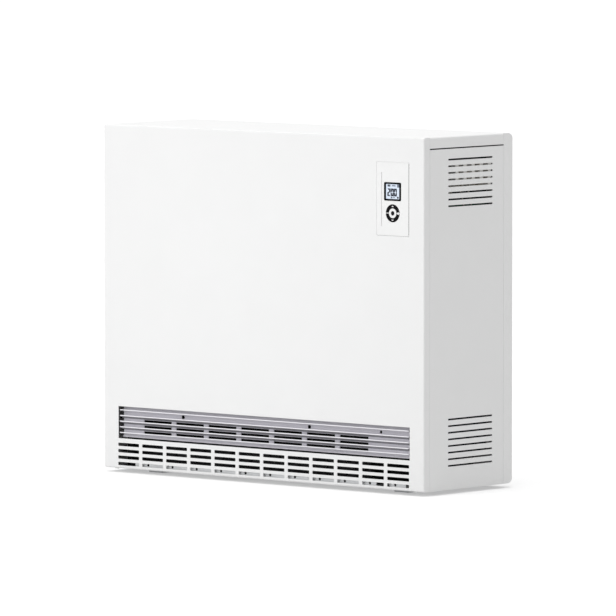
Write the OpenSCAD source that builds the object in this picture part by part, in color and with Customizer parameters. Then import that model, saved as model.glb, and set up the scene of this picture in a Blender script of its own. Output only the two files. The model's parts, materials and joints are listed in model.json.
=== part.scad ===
// Fan-assisted night storage heater. Millimetres. X runs to the right seen from the front, the front
// faces -Y, Z is up. The origin is on the floor, under the middle of the casing.

/* [Casing] */
// Width of the casing
body_w = 780; // [780:1:800]
// Height of the casing above the floor, feet included
body_h = 650; // [646:1:690]
// Depth of the casing
body_d = 256; // [250:1:262]
// Thickness of the enamelled casing sheets
sheet_t = 1.2; // [1:0.1:1.3]
// Height of the casing's lower edge above the floor
foot_h = 8; // [6:0.5:10]
// Depth of the front panel's folded edge
front_flange = 16; // [14:1:18]
// Depth of the rear panel's folded edge
rear_flange = 30; // [26:1:30]
// Height of the lid's side skirts
lid_skirt = 20; // [16:1:24]

/* [Air outlet] */
// Width of the outlet opening in the front panel
outlet_w = 710.7; // [700:0.1:712]
// Height of the lower edge of the outlet opening
outlet_z = 64.2; // [63.8:0.1:64.6]
// Height of the outlet opening
outlet_h = 60.1; // [59.7:0.1:60.5]
// Depth of the grille, from its fin edges to the front of its web
grille_depth = 11.5; // [10:0.5:12]
// Spacing of the grille's fins
fin_pitch = 10.6; // [10:0.1:10.8]
// Length of one slot in the grille
grille_slot_l = 68.5; // [60:0.5:72]
// Spacing of the columns of slots in the grille
grille_slot_pitch = 80; // [76:1:80]

/* [Air intake] */
// Columns of intake slots
intake_cols = 12; // [8:1:12]
// Rows of intake slots
intake_rows = 4; // [3:1:4]
// Length of one intake slot
intake_slot_l = 52.2; // [40:0.2:54]
// Height of one intake slot
intake_slot_h = 6.2; // [4.5:0.1:6.5]
// Spacing of the intake columns
intake_pitch_x = 59.8; // [58:0.2:60]
// Spacing of the intake rows
intake_pitch_z = 12; // [11:0.1:12.2]

/* [Side vents] */
// Slots in each side vent
vent_rows = 8; // [4:1:9]
// Spacing of the vent slots
vent_pitch = 12.07; // [10:0.01:12.5]
// Length of a vent slot
vent_l = 126; // [100:1:130]
// Height of a vent slot
vent_h = 3.2; // [2:0.1:4]

/* [Control panel] */
// Width of the control panel
fascia_w = 76.1; // [75:0.1:77]
// Height of the control panel
fascia_h = 133.5; // [128:0.5:138]
// Outer radius of the ring of keys
key_ring_r = 16; // [15.5:0.1:16.4]
// Travel of the keys
key_travel = 0.5; // [0.3:0.1:0.5]

/* [Storage core] */
// Width of one storage brick
brick_w = 136; // [134:1:136]
// Depth of one storage brick
brick_d = 160; // [156:1:160]
// Height of one storage brick
brick_h = 68; // [60:1:68]
// Thickness of the front and rear insulation
face_board_t = 30; // [28:1:30]
// Diameter of the heating elements' tube
element_d = 8.5; // [7:0.5:9]
// Spacing of the two legs of a heating element
element_legs = 80; // [70:1:84]

/* [Fan] */
// Radius of the fan's impellers
impeller_r = 27; // [24:1:27.5]
// Blades on each impeller
blades = 24; // [16:1:28]
// Diameter of the fan shaft
shaft_d = 5; // [4:0.5:5]

/* [Hidden] */
$fn = 48;
half_w = body_w / 2;
front_y = -body_d / 2;
rear_y = body_d / 2;
seam = 0.4;                       // open joint between two casing sheets
lid_seam = 2.3;                   // open joint between a side panel and the lid
fit = 0.05;                       // radial running clearance of a shaft
eps = 0.5;                        // overshoot of a cutting solid

// Casing
fold_r = 3;                       // outer radius of a fold at the front and on the lid
rear_fold_r = 8;                  // outer radius of the rear panel's upright folds
rear_end_r = 11;                  // the same at its top and bottom edge
rear_corner_r = 10;               // and across its four corners
panel_front = front_y + sheet_t;  // inner face of the front panel
front_edge = front_y + front_flange;
rear_edge = rear_y - rear_flange;
side_in = half_w - sheet_t;       // inner face of a side panel
lid_z = body_h - lid_skirt;
lid_in = body_h - sheet_t;
floor_z = foot_h + sheet_t;       // underside of the base plate
floor_t = 1.5;
floor_top = floor_z + floor_t;
base_rear = rear_y - rear_end_r - 1;
field_margin = 32;                // rim round the recessed field of the rear panel
field_depth = 3;
field_y = rear_y - field_depth;   // outer face of the recessed field
field_in = field_y - sheet_t;
return_w = 12;                    // width of the side panels' returns
lid_return = 12;                  // height of the lid's front and rear returns

// Rails, fixings and cable entry
rail_x = 300;
rail_w = 32;
rail_l = 170;
rail_t = 2;
floor_hole_r = 4.5;
floor_hole_y = 65;
wall_hole_r = 4.25;
wall_hole_x = 250;
wall_hole_z = 560;
cable_x = 315;
cable_z = 80;
cable_r = 7;
screw_r = 1.9;
screw_hole_r = 2.1;
screw_head_r = 4;
screw_head_h = 1.6;
rear_screw_z = [150, 330, 520];
low_screw_x = half_w - 25;
low_screw_y = [front_y + 8, rear_y - 18];

// Air outlet
outlet_top = outlet_z + outlet_h;
outlet_x = 1.1;
grille_gap = 0.5;
grille_end_gap = 3.2;
grille_tip = front_y + 0.5;       // front edges of the fins
web_y = grille_tip + grille_depth;
web_t = 1.6;
fin_t = 1.2;
fin_bead = [2, 1.7];              // depth and height of the bead along a fin's front edge
fins = 5;
fin_drop = 1.5;                   // how far the root of a fin lies below its front edge
louvre_drop = 5.6;                // the same for the middle fins
top_fin_z = outlet_top - 6.8;
foot_lip_d = 2;                   // lip along the lower edge of the web
foot_lip_z = [outlet_z + 2.2, outlet_z + 5];
slot_rows = 3;
grille_slot_z = [-0.5, 4.1];      // slot's lower and upper edge from the middle of the fin in front
grille_slot_cols = 7;
grille_mid_x = -26.3;
catch_x = [-202.2, 107.1];
catch_z = outlet_top - 13.4;
catch_shaft_r = 2;
catch_head_r = 2.8;
catch_head_t = 1.4;
catch_grip = [2.4, 1.6, 6];       // width, height above the head, length
catch_bar_l = 14;
catch_bar_w = 3.6;
catch_bar_t = 3;
sensor_x = 278.2;
sensor_r = 2.4;

// Air intake and side vents
intake_top_z = 52.8;
intake_corner_r = 1.5;
vent_y = 3;
vent_top_z = [lid_z - 21.8, 136.1];

// Control panel
fascia_x = 315.35;
fascia_z = 537.2;
fascia_face = front_y + 0.4;
fascia_t = 2;
fascia_back = fascia_face + fascia_t;
fascia_gap_x = [0.15, 1];         // open joint at its left and right edge
fascia_gap_z = [0.4, 0.15];       // the same below and above it
fascia_corner_r = 2;
groove_x = 289;                   // shallow upright groove in its face
groove_z = 536;
groove_l = 98;
groove_w = 1.8;
groove_d = 1.7;
backing_t = 1;                    // black moulding behind the fascia
display_x = 315.1;
display_z = 550.5;
display_w = 40.2;
display_h = 33.4;
window_w = 31.7;
window_h = 27.2;
keys_x = 315.4;
keys_z = 511.2;
key_face = front_y + 0.1;
key_rim = 1.6;                    // flange that keeps a key behind the fascia
centre_key_r = 8.8;
key_gap = 0.3;
spoke_h = 1.2;                    // bars of the fascia between the two halves of the key ring
spoke_disc_r = 2.3;
spoke_disc_x = 13;
board_y = panel_front + 5.1;      // front of the display board
pcb_t = 1.6;
plug_x = 333;                     // plugs on the display board
plug_y = board_y + pcb_t + 7;
plug_z = [482, 594];

// Storage core
brick_cols = 4;
courses = 6;
core_x = -32;
core_w = brick_cols * brick_w;
core_left = core_x - core_w / 2;
core_right = core_x + core_w / 2;
side_board_t = 40;
deck_top = 131;
deck_t = 3;
base_board_t = 40;
core_z = deck_top + base_board_t;
core_top = core_z + courses * brick_h;
top_board_t = 42;
top_board_z = core_top + top_board_t;
board_left = core_left - side_board_t;
board_right = core_right + side_board_t;
board_front = -brick_d / 2 - face_board_t;
board_rear = brick_d / 2 + face_board_t;
channel_w = 34;
channel_d = 16;
channel_y = 18;
channel_x = 32;
groove_r = element_d / 2 + 1.25;
bend_x = core_left + 60;
element_level = [for (i = [0:2]) core_z + (2 * i + 1) * brick_h];
probe_r = 3;
probe_x = core_x + core_w / 3 + 4;
probe_z = core_z + 3.5 * brick_h;

// Walls either side of the core
wall_t = 1.2;
right_wall = board_right + 2;     // core side of the partition wall
left_wall = board_left - 2;
wall_front = -110;
wall_flange = 15;
lip_top = 23;                     // top of the lips behind the lowest intake slots
lip_y = panel_front + 5;
lip_hole_r = 2.8;
lip_hole_z = 17;
lip_holes = 10;
lip_hole_mid = -14.3;
lip_hole_pitch = 60.2;
floor_lip_x = [301.6, 342];       // lip of the base plate below the switchgear
cable_hole = [88, 46];            // passage for the motor's lead
cable_hole_r = 6;
sensor_hole = [-98, 98];          // passage for the room sensor's lead
sensor_hole_r = 3;
probe_end = right_wall + wall_t + 8;

// Fan section
fan_mid_x = -30;
tray_x = [-317, 272];
tray_t = 1;
tray_top = floor_top + tray_t;
duct_x = [fan_mid_x - 282, fan_mid_x + 282];
duct_t = 1.5;
duct_floor = 61;
duct_front = web_y + web_t + 0.2;
duct_rear = 8;
fan_y = 50;
fan_z = 66;
scroll_r = 31;
housing_x = [fan_mid_x - 279, fan_mid_x + 279];
bay_x = [fan_mid_x - 33, fan_mid_x + 33];          // walls of the motor bay
bush_r = 7;
bush_l = 6;
bush_x = [housing_x[0] - 2, bay_x[0] - 2, bay_x[1] - 3, housing_x[1] - 3];
impeller_x = [[fan_mid_x - 271, fan_mid_x - 40], [fan_mid_x + 40, fan_mid_x + 271]];
motor_x = [fan_mid_x - 12, fan_mid_x + 12];
rotor_r = 16;
flap_y = 5;
flap_z = 122;
flap_l = 19.5;
flap_pin_r = 2;
flap_x = [duct_x[0] + 4, duct_x[1] - 4];

// Switchgear
carrier_x = 350;
carrier_y = [-43, 95];
carrier_z = [60, 606];
carrier_face = carrier_x + wall_t;
pcb_x = carrier_face + 9;
pcb_y = [-35, 88];
pcb_z = [330, 530];
poles = 5;
pole_pitch = 23;
pole_y = -32;
terminal_z = [552, 604];
barrier_z = [566, 602];
last_barrier_z = [555, 602];
limiter_y = 60;
limiter_z = element_level[2] - 41;

// ---- Helpers -------------------------------------------------------------------------------------

// Box between two limits on each axis
module span(x, y, z) {
  translate([x[0], y[0], z[0]]) cube([x[1] - x[0], y[1] - y[0], z[1] - z[0]]);
}

// Cylinder along X, Y or Z between two limits
module rod_x(r, x, y, z) translate([x[0], y, z]) rotate([0, 90, 0]) cylinder(r = r, h = x[1] - x[0]);
module rod_y(r, x, y, z) translate([x, y[1], z]) rotate([90, 0, 0]) cylinder(r = r, h = y[1] - y[0]);
module rod_z(r, x, y, z) translate([x, y, z[0]]) cylinder(r = r, h = z[1] - z[0]);

// Outline drawn in (x, z), extruded along Y
module along_y(y) translate([0, y[1], 0]) rotate([90, 0, 0]) linear_extrude(y[1] - y[0]) children();

// Outline drawn in (y, z), extruded along X
module along_x(x) translate([x[0], 0, 0]) rotate([90, 0, 90]) linear_extrude(x[1] - x[0]) children();

// Slot with round ends, centred
module slot(l, h) {
  square([l - h, h], center = true);
  for (s = [-1, 1]) translate([s * (l - h) / 2, 0]) circle(h / 2);
}

// Rectangle with round corners, centred
module round_rect(w, h, r) {
  square([w, h - 2 * r], center = true);
  square([w - 2 * r, h], center = true);
  for (i = [-1, 1], j = [-1, 1]) translate([i * (w / 2 - r), j * (h / 2 - r)]) circle(r);
}

// Rectangle from y = 0 to y = d whose two corners at y = 0 are round
module folded_edge(w, d, r) {
  translate([-w / 2, r]) square([w, d - r]);
  translate([-w / 2 + r, 0]) square([w - 2 * r, d]);
  for (s = [-1, 1]) translate([s * (w / 2 - r), r]) circle(r);
}

// Outline whose first coordinate runs from edge down to edge - d, with two round corners at edge
module level_edge(edge, d, h, r)
  translate([edge, h / 2]) mirror([1, 0]) mirror([1, -1]) folded_edge(h, d, r);

// Box standing on z = 0 whose edges at y = 0 are folded round: upright ones by r, level ones by end_r.
// Its four corners at y = 0 are rounded by corner_r, seen along the diagonal.
module folded_box(w, d, h, r, end_r, corner_r) {
  reach = (w / 2 - 2 * r) / sqrt(2) + r;
  intersection() {
    linear_extrude(h) folded_edge(w, d, r);
    along_x([-w / 2, w / 2]) mirror([1, 0]) level_edge(0, d, h, end_r);
    rotate([0, 0, -45]) along_y([-w, w]) level_edge(reach, 2 * w, h, corner_r);
    mirror([1, 0, 0]) rotate([0, 0, -45]) along_y([-w, w]) level_edge(reach, 2 * w, h, corner_r);
  }
}

// Sheet tray, open at y = d, with its outer face at y = 0
module sheet_tray(w, d, h, r, end_r, corner_r, t) {
  difference() {
    folded_box(w, d, h, r, end_r, corner_r);
    translate([0, t, t]) folded_box(w - 2 * t, d, h - 2 * t, r - t, end_r - t, corner_r - t);
  }
}

// Smooth route through a short list of points: each corner is cut twice
function cut_corners(p) = concat([p[0]], [for (i = [0:len(p) - 2], k = [0.25, 0.75])
  if (!(i == 0 && k < 0.5) && !(i == len(p) - 2 && k > 0.5)) p[i] * (1 - k) + p[i + 1] * k],
  [p[len(p) - 1]]);
function unit(v) = v / norm(v);
function heading(p, i) = unit(p[min(i + 1, len(p) - 1)] - p[max(i - 1, 0)]);

// Side vector of each ring, carried along the route so that the tube doesn't twist
function carried(p, i) = i == 0
  ? unit(cross(heading(p, 0), abs(heading(p, 0)[2]) > 0.9 ? [1, 0, 0] : [0, 0, 1]))
  : let (s = carried(p, i - 1), h = heading(p, i)) unit(s - h * (s * h));

// Round lead of diameter d along a route
module lead(route, d, sides = 8) {
  p = cut_corners(cut_corners(route));
  n = len(p);
  rings = [for (i = [0:n - 1], k = [0:sides - 1])
    let (s = carried(p, i), u = cross(heading(p, i), s), a = 360 * k / sides)
    p[i] + d / 2 * (cos(a) * s + sin(a) * u)];
  walls = [for (i = [0:n - 2], k = [0:sides - 1])
    let (a = i * sides + k, b = i * sides + (k + 1) % sides)
    each [[a, a + sides, b], [b, a + sides, b + sides]]];
  caps = [for (k = [1:sides - 2])
    each [[0, k, k + 1], [(n - 1) * sides, (n - 1) * sides + k + 1, (n - 1) * sides + k]]];
  polyhedron(rings, concat(walls, caps));
}

// ---- Casing --------------------------------------------------------------------------------------

// Slots of the air intake, drawn on the front panel
module intake_slots() {
  for (c = [0:intake_cols - 1], r = [0:intake_rows - 1])
    translate([(c - (intake_cols - 1) / 2) * intake_pitch_x, intake_top_z - r * intake_pitch_z])
      round_rect(intake_slot_l, intake_slot_h, intake_corner_r);
}

module front_panel() color("white") difference() {
  translate([0, front_y, foot_h])
    sheet_tray(body_w, front_flange, body_h - foot_h, fold_r, fold_r, fold_r, sheet_t);
  along_y([front_y - eps, panel_front + eps]) {
    translate([outlet_x - outlet_w / 2, outlet_z]) square([outlet_w, outlet_h]);
    translate([fascia_x + (fascia_gap_x[1] - fascia_gap_x[0]) / 2,
      fascia_z + (fascia_gap_z[1] - fascia_gap_z[0]) / 2])
      round_rect(fascia_w + fascia_gap_x[0] + fascia_gap_x[1],
        fascia_h + fascia_gap_z[0] + fascia_gap_z[1], fascia_corner_r);
    intake_slots();
  }
  for (s = [-1, 1]) rod_z(screw_hole_r, s * low_screw_x, low_screw_y[0], [foot_h - eps, floor_z + eps]);
}

// Side panel on the right, with returns at its front, rear and lower edges
module side_sheet() {
  y = [front_edge + seam, rear_edge - seam];
  z = [foot_h, lid_z - lid_seam];
  span([side_in, half_w], y, z);
  for (e = [y[0], y[1] - sheet_t]) span([side_in - return_w, side_in + eps], [e, e + sheet_t],
    [floor_top, z[1]]);
  span([side_in - return_w, side_in + eps], [y[0], y[1]], [floor_top, floor_top + sheet_t]);
}

module left_side_panel() color("white") mirror([1, 0, 0]) side_sheet();

module right_side_panel() color("white") difference() {
  side_sheet();
  along_x([side_in - eps, half_w + eps])
    for (top = vent_top_z, r = [0:vent_rows - 1])
      translate([vent_y, top - r * vent_pitch]) slot(vent_l, vent_h);
}

module top_lid() color("white") {
  y = [front_edge + seam, rear_edge - seam];
  translate([0, 0, body_h]) along_y(y) mirror([0, 1]) difference() {
    folded_edge(body_w, lid_skirt, fold_r);
    translate([0, sheet_t]) folded_edge(body_w - 2 * sheet_t, lid_skirt, fold_r - sheet_t);
  }
  for (e = [y[0], y[1] - sheet_t])
    span([-side_in + 2, side_in - 2], [e, e + sheet_t], [lid_in - lid_return, lid_in + sheet_t / 2]);
}

module rear_panel() color("white") {
  w = body_w - 2 * field_margin;
  z = [foot_h + field_margin, body_h - field_margin];
  difference() {
    union() {
      translate([0, rear_y, foot_h]) mirror([0, 1, 0])
        sheet_tray(body_w, rear_flange, body_h - foot_h, rear_fold_r, rear_end_r, rear_corner_r, sheet_t);
      span([-w / 2 - sheet_t, w / 2 + sheet_t], [field_in, rear_y - sheet_t / 2],
        [z[0] - sheet_t, z[1] + sheet_t]);
    }
    span([-w / 2, w / 2], [field_y, rear_y + eps], z);
    for (s = [-1, 1]) rod_y(wall_hole_r, s * wall_hole_x, [field_in - eps, rear_y], wall_hole_z);
    for (x = rear_screw_x(), h = rear_screw_z) rod_y(screw_hole_r, x, [field_in - eps, rear_y], h);
    rod_y(cable_r + 4, cable_x, [field_in - eps, rear_y], cable_z);
    for (s = [-1, 1]) rod_z(screw_hole_r, s * low_screw_x, low_screw_y[1], [foot_h - eps, floor_z + eps]);
  }
}

// Screws at the rear bite into the flanges of the two core walls
function rear_screw_x() = [left_wall - wall_t - 5.5, right_wall + wall_t + 5.5];

// Flat plate whose front lip shows below the control panel, through the lowest intake slots
module base_plate() color("silver") {
  difference() {
    span([-half_w + 2, half_w - 2], [front_y + 3, base_rear], [floor_z, floor_top]);
    for (s = [-1, 1], y = low_screw_y)
      rod_z(screw_r + fit, s * low_screw_x, y, [floor_z - eps, floor_top + eps]);
    for (m = [0, 1]) mirror([m, 0, 0]) span([half_w - rear_corner_r, half_w],
      [rear_edge, base_rear + eps], [floor_z - eps, floor_top + eps]);
  }
  difference() {
    span(floor_lip_x, [lip_y, lip_y + floor_t], [floor_top - eps, lip_top]);
    rod_y(lip_hole_r, lip_hole_x(lip_holes), [lip_y - eps, lip_y + floor_t + eps], lip_hole_z);
  }
}

// Folded steel rail with closed ends and two holes for bolts into the floor
module floor_rail(x) {
  difference() {
    span([x - rail_w / 2, x + rail_w / 2], [-rail_l / 2, rail_l / 2], [0, floor_z]);
    span([x - rail_w / 2 + rail_t, x + rail_w / 2 - rail_t], [-rail_l / 2 + rail_t, rail_l / 2 - rail_t],
      [rail_t, floor_z + eps]);
    for (s = [-1, 1]) rod_z(floor_hole_r, x, s * floor_hole_y, [-eps, rail_t + eps]);
  }
}

module left_floor_rail() color("silver") floor_rail(-rail_x);

module right_floor_rail() color("silver") floor_rail(rail_x);

module casing_screws() color("lightgray") {
  for (x = rear_screw_x(), z = rear_screw_z) {
    rod_y(screw_head_r, x, [field_y, field_y + screw_head_h], z);
    rod_y(screw_r, x, [field_y - 9, field_y + 1], z);
  }
  for (s = [-1, 1], y = low_screw_y) {
    rod_z(screw_head_r, s * low_screw_x, y, [foot_h - screw_head_h, foot_h]);
    rod_z(screw_r, s * low_screw_x, y, [foot_h - 1, floor_top + 4]);
  }
}

module cable_grommet() color("dimgray") difference() {
  union() {
    rod_y(cable_r + 7, cable_x, [field_y, field_y + 2.5], cable_z);
    rod_y(cable_r + 3.9, cable_x, [field_in - 1, field_y + 1], cable_z);
    rod_y(cable_r + 7, cable_x, [field_in - 3, field_in], cable_z);
  }
  rod_y(cable_r, cable_x, [field_in - 4, field_y + 4], cable_z);
}

// ---- Air outlet ----------------------------------------------------------------------------------

function fin_z(i) = top_fin_z - i * fin_pitch;

// Fin with a beaded front edge at z, its root lower by drop
module fin(x, z, drop) {
  front = grille_tip + fin_bead[0] / 2;
  root = web_y + web_t / 2;
  along_x(x) polygon([[front, z - fin_t / 2], [root, z - drop - fin_t / 2],
    [root, z - drop + fin_t / 2], [front, z + fin_t / 2]]);
  span(x, [grille_tip, grille_tip + fin_bead[0]], [z - fin_bead[1] / 2, z + fin_bead[1] / 2]);
}

module outlet_grille() color("silver") {
  x = [outlet_x - outlet_w / 2 + grille_end_gap, outlet_x + outlet_w / 2 - grille_end_gap];
  difference() {
    span(x, [web_y, web_y + web_t], [foot_lip_z[0], outlet_top - grille_gap]);
    for (c = [0:grille_slot_cols - 1], r = [0:slot_rows - 1])
      translate([grille_mid_x + (c - (grille_slot_cols - 1) / 2) * grille_slot_pitch, 0, fin_z(r + 2)])
        span([-grille_slot_l / 2, grille_slot_l / 2], [web_y - eps, web_y + web_t + eps], grille_slot_z);
    for (cx = catch_x) rod_y(catch_shaft_r + key_gap, cx, [web_y - eps, web_y + web_t + eps], catch_z);
    rod_y(sensor_r + 0.5, sensor_x, [web_y - eps, web_y + web_t + eps], catch_z);
  }
  for (i = [0:fins - 1]) fin(x, fin_z(i), i > 0 && i < fins - 1 ? louvre_drop : fin_drop);
  span(x, [web_y - foot_lip_d, web_y + web_t / 2], foot_lip_z);
}

// Quarter-turn catch: head with an upright grip in front of the web, crossbar behind the keeper
module grille_catch(x) {
  head = [web_y - 0.2 - catch_head_t, web_y - 0.2];
  bar = [duct_front + 1.6, duct_front + 1.6 + catch_bar_t];
  rod_y(catch_head_r, x, head, catch_z);
  span([x - catch_grip[0] / 2, x + catch_grip[0] / 2], [head[0] - catch_grip[1], head[1]],
    [catch_z - catch_grip[2] / 2, catch_z + catch_grip[2] / 2]);
  rod_y(catch_shaft_r, x, [head[0], bar[1]], catch_z);
  span([x - catch_bar_w / 2, x + catch_bar_w / 2], bar,
    [catch_z - catch_bar_l / 2, catch_z + catch_bar_l / 2]);
}

module left_grille_catch() color("black") grille_catch(catch_x[0]);

module right_grille_catch() color("black") grille_catch(catch_x[1]);

module room_sensor() color("black") {
  rod_y(sensor_r, sensor_x, [web_y + 0.4, -105], catch_z);
  span([sensor_x - 7, right_wall], [-105.4, -104.4], [catch_z - 6, catch_z + 6]);
  span([right_wall - 1, right_wall], [-104.8, -94], [catch_z - 6, catch_z + 6]);
}

// Sheet duct behind the grille, with a keeper for each catch
module outlet_duct() color("dimgray") {
  keeper_z = [catch_z - catch_bar_l / 2 - 2, deck_top - deck_t - duct_t];
  for (x = [duct_x[0], duct_x[1] - duct_t]) difference() {
    span([x, x + duct_t], [duct_front, duct_rear], [tray_top, deck_top - deck_t]);
    rod_x(flap_pin_r + fit, [x - eps, x + duct_t + eps], flap_y, flap_z);
  }
  span(duct_x, [duct_front, duct_rear], [duct_floor - duct_t, duct_floor]);
  span(duct_x, [duct_front, flap_y - 6], [deck_top - deck_t - duct_t, deck_top - deck_t]);
  for (cx = catch_x) difference() {
    span([cx - 14, cx + 14], [duct_front, duct_front + 1.2], [keeper_z[0], keeper_z[1] + eps]);
    span([cx - catch_shaft_r - 0.4, cx + catch_shaft_r + 0.4], [duct_front - eps, duct_front + 2],
      [catch_z - catch_bar_l / 2 - 0.6, catch_z + catch_bar_l / 2 + 0.6]);
  }
}

// Framed filter; its fine mesh is a thin closed sheet
module lint_filter() color("darkslategray") {
  x = [duct_x[0] + duct_t, duct_x[1] - duct_t];
  y = [-98, -95];
  z = [tray_top, duct_floor - duct_t];
  cols = 24;
  rows = 3;
  rim = 4;
  mesh_t = 0.4;
  dx = (x[1] - x[0] - 2 * rim) / cols;
  dz = (z[1] - z[0] - 2 * rim) / rows;
  along_y(y) difference() {
    translate([x[0], z[0]]) square([x[1] - x[0], z[1] - z[0]]);
    for (c = [0:cols - 1], r = [0:rows - 1])
      translate([x[0] + rim + c * dx + 1, z[0] + rim + r * dz + 1]) square([dx - 2, dz - 2]);
  }
  span([x[0] + 1, x[1] - 1], [y[1] - mesh_t, y[1]], [z[0] + 1, z[1] - 1]);
}

// ---- Control panel -------------------------------------------------------------------------------

// Bars that reach between the halves of the key ring; the right one ends in a round boss
module spokes(gap) translate([keys_x, keys_z]) {
  inner = centre_key_r + 0.8 - gap;
  outer = key_ring_r + 1 + gap;
  for (s = [-1, 1]) translate([s * (inner + outer) / 2, 0])
    square([outer - inner, spoke_h + 2 * gap], center = true);
  translate([spoke_disc_x, 0]) circle(spoke_disc_r + gap);
}

// White front plate
module control_fascia() color("whitesmoke") difference() {
  along_y([fascia_face, fascia_back]) {
    difference() {
      translate([fascia_x, fascia_z]) round_rect(fascia_w, fascia_h, fascia_corner_r);
      translate([display_x, display_z]) round_rect(display_w + 0.2, display_h + 0.2, 2.6);
      translate([keys_x, keys_z]) circle(key_ring_r + key_gap);
    }
    spokes(0);
  }
  along_y([fascia_face - eps, fascia_face + groove_d])
    translate([groove_x, groove_z]) rotate(90) slot(groove_l, groove_w);
}

// Black moulding: frame of the display, backing of the fascia and the dark line at its right edge
module display_frame() color("black") {
  rim_back = board_y + pcb_t + 1;
  along_y([key_face, fascia_back + backing_t]) translate([display_x, display_z]) difference() {
    round_rect(display_w, display_h, 2.5);
    round_rect(window_w, window_h, 1);
  }
  along_y([fascia_back, fascia_back + backing_t]) difference() {
    translate([fascia_x, fascia_z]) square([fascia_w + 4, fascia_h + 8], center = true);
    translate([display_x, display_z]) square([display_w - 2, display_h - 2], center = true);
    translate([keys_x, keys_z]) circle(key_ring_r + key_rim + 0.5);
  }
  along_y([fascia_back + backing_t / 2, rim_back]) translate([fascia_x, fascia_z]) difference() {
    square([fascia_w, fascia_h], center = true);
    square([fascia_w - 3, fascia_h - 3], center = true);
  }
  translate([fascia_x, 0, fascia_z]) {
    span([fascia_w / 2, fascia_w / 2 + fascia_gap_x[1]], [front_y + 0.1, fascia_back + backing_t],
      [-fascia_h / 2 + fascia_corner_r, fascia_h / 2 - fascia_corner_r]);
    for (s = [-1, 1]) translate([0, 0, s * (fascia_h / 2 + 2.2)])
      span([-fascia_w / 2, fascia_w / 2], [panel_front, fascia_back + backing_t], [-1.8, 1.8]);
  }
}

module display_module() color("lightsteelblue") translate([display_x, 0, display_z]) {
  along_y([fascia_face + 0.2, fascia_back + backing_t + eps])
    round_rect(window_w - 0.3, window_h - 0.3, 0.9);
  along_y([fascia_back + backing_t, board_y]) translate([0, 1]) square([38, 33.5], center = true);
}

// Half of the key ring, upper for side = 1
module ring_key(side) {
  back = fascia_back + key_rim;
  intersection() {
    difference() {
      union() {
        rod_y(key_ring_r, keys_x, [key_face, fascia_back + 0.8], keys_z);
        rod_y(key_ring_r + key_rim, keys_x, [fascia_back + 0.3, fascia_back + 1.3], keys_z);
      }
      rod_y(centre_key_r + key_gap, keys_x, [key_face - eps, back], keys_z);
      rod_y(centre_key_r + 2, keys_x, [fascia_back + 0.4, back], keys_z);
      along_y([key_face - eps, back]) spokes(key_gap);
    }
    translate([keys_x, 0, keys_z]) mirror([0, 0, side < 0 ? 1 : 0])
      span([-20, 20], [key_face - eps, back], [spoke_h / 2 + key_gap, 20]);
  }
}

module key_up() color("black") ring_key(1);

module key_down() color("black") ring_key(-1);

module key_enter() color("white") {
  rod_y(centre_key_r, keys_x, [key_face + 0.2, fascia_back + 1.2], keys_z);
  rod_y(centre_key_r + 1.6, keys_x, [fascia_back + 1.1, fascia_back + 1.5], keys_z);
}

module key_mat() color("darkgray")
  rod_y(key_ring_r + 3, keys_x, [fascia_back + 1.6 + key_travel, board_y], keys_z);

module display_board() color("darkgreen") {
  x = [fascia_x - fascia_w / 2 + 2, fascia_x + fascia_w / 2 - 2];
  z = [fascia_z - fascia_h / 2 + 2, fascia_z + fascia_h / 2 - 2];
  span(x, [board_y, board_y + pcb_t], z);
  span([300, 318], [board_y + pcb_t - 0.2, board_y + pcb_t + 2.2], [540, 558]);
  for (p = plug_z) span([plug_x - 8, plug_x + 8], [board_y + pcb_t - 0.2, plug_y], [p - 4, p + 4]);
  rod_y(9, plug_x - 3, [board_y + pcb_t - 0.2, board_y + pcb_t + 4], 504);
}

// ---- Storage core --------------------------------------------------------------------------------

// One course of bricks on level i, with the elements' grooves and the upright air channels
module course(i) {
  z = core_z + i * brick_h;
  groove_z = i % 2 == 0 ? z + brick_h : z;
  for (c = [0:brick_cols - 1]) {
    x = core_left + c * brick_w;
    difference() {
      span([x, x + brick_w - 0.2], [-brick_d / 2, brick_d / 2], [z, z + brick_h]);
      for (dx = [-channel_x, channel_x], dy = [-channel_y, channel_y])
        translate([x + brick_w / 2 + dx - channel_w / 2, dy - channel_d / 2, z - eps])
          cube([channel_w, channel_d, brick_h + 2 * eps]);
      for (s = [-1, 1])
        rod_x(groove_r, [max(x - 1, bend_x), x + brick_w + 1], s * element_legs / 2, groove_z);
      if (c == 0) span([bend_x - element_legs / 2 - groove_r - 2, bend_x + 1],
        [-element_legs / 2 - groove_r, element_legs / 2 + groove_r],
        [groove_z - groove_r, groove_z + groove_r]);
      if (i == 3) rod_x(probe_r + 0.5, [probe_x - 4, core_right + 1], 0, probe_z);
    }
  }
}

module lower_bricks() color("dimgray") for (i = [0, 1]) course(i);

module middle_bricks() color("dimgray") for (i = [2, 3]) course(i);

module upper_bricks() color("dimgray") for (i = [4, 5]) course(i);

// Hairpin tube with a stud on each leg
module element(z) {
  for (s = [-1, 1]) {
    rod_x(element_d / 2, [bend_x, right_wall + wall_t + 5], s * element_legs / 2, z);
    rod_x(2, [right_wall + wall_t + 4, right_wall + wall_t + 17], s * element_legs / 2, z);
  }
  translate([bend_x, 0, z]) rotate([0, 0, 90]) rotate_extrude(angle = 180)
    translate([element_legs / 2, 0]) circle(element_d / 2);
}

module lower_element() color("slategray") element(element_level[0]);

module middle_element() color("slategray") element(element_level[1]);

module upper_element() color("slategray") element(element_level[2]);

// Ceramic collars where the elements pass the partition wall
module element_insulators() color("ivory") for (z = element_level, s = [-1, 1]) difference() {
  union() {
    rod_x(8, [right_wall + wall_t, right_wall + wall_t + 5], s * element_legs / 2, z);
    rod_x(5.9, [right_wall - 8, right_wall + wall_t + 1], s * element_legs / 2, z);
  }
  rod_x(element_d / 2 + 0.2, [right_wall - 10, right_wall + 10], s * element_legs / 2, z);
}

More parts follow.
